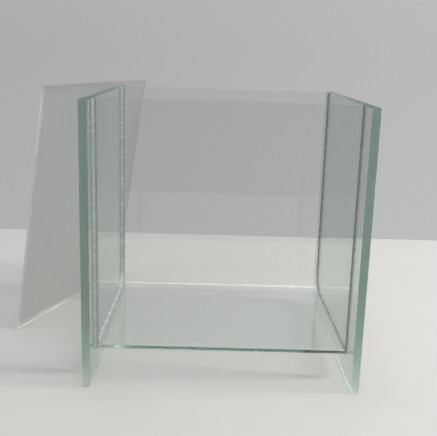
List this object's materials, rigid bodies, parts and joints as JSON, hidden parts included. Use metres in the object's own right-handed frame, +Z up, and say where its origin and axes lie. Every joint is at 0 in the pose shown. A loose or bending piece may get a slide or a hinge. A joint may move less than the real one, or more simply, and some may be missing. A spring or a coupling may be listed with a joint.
{
  "type": "glass tank",
  "caption": "Open-topped glass tank: a trough bent from one sheet held between two thick end plates that serve as feet, with a loose flat lid leaning beside it.",
  "frame": {"origin": "on the table, under the middle of the box round the tank and its leaning lid", "axes": "+Z up; +X from the left end plate to the right one, square to both; +Y from the tank's front wall to its rear wall"},
  "size_m": [0.2754, 0.2696, 0.2079],
  "materials": {
    "plate_glass": "clear float glass with green cut edges",
    "sheet_glass": "clear bent sheet glass",
    "lid_glass": "clear sheet glass, slightly dusty",
    "joint_sealant": "clear adhesive bead, grey in the joint"
  },
  "bodies": {
    "tank": {"left_end_plate": "plate_glass", "right_end_plate": "plate_glass", "trough_sheet": "sheet_glass", "left_joint_bead": "joint_sealant", "right_joint_bead": "joint_sealant"},
    "lid": {"lid": "lid_glass"}
  },
  "joints": [
    {"name": "lid_lift", "type": "slide", "parent": "tank", "child": "lid", "axis": [0, 0, 1], "range_m": [0, 0.22]}
  ]
}
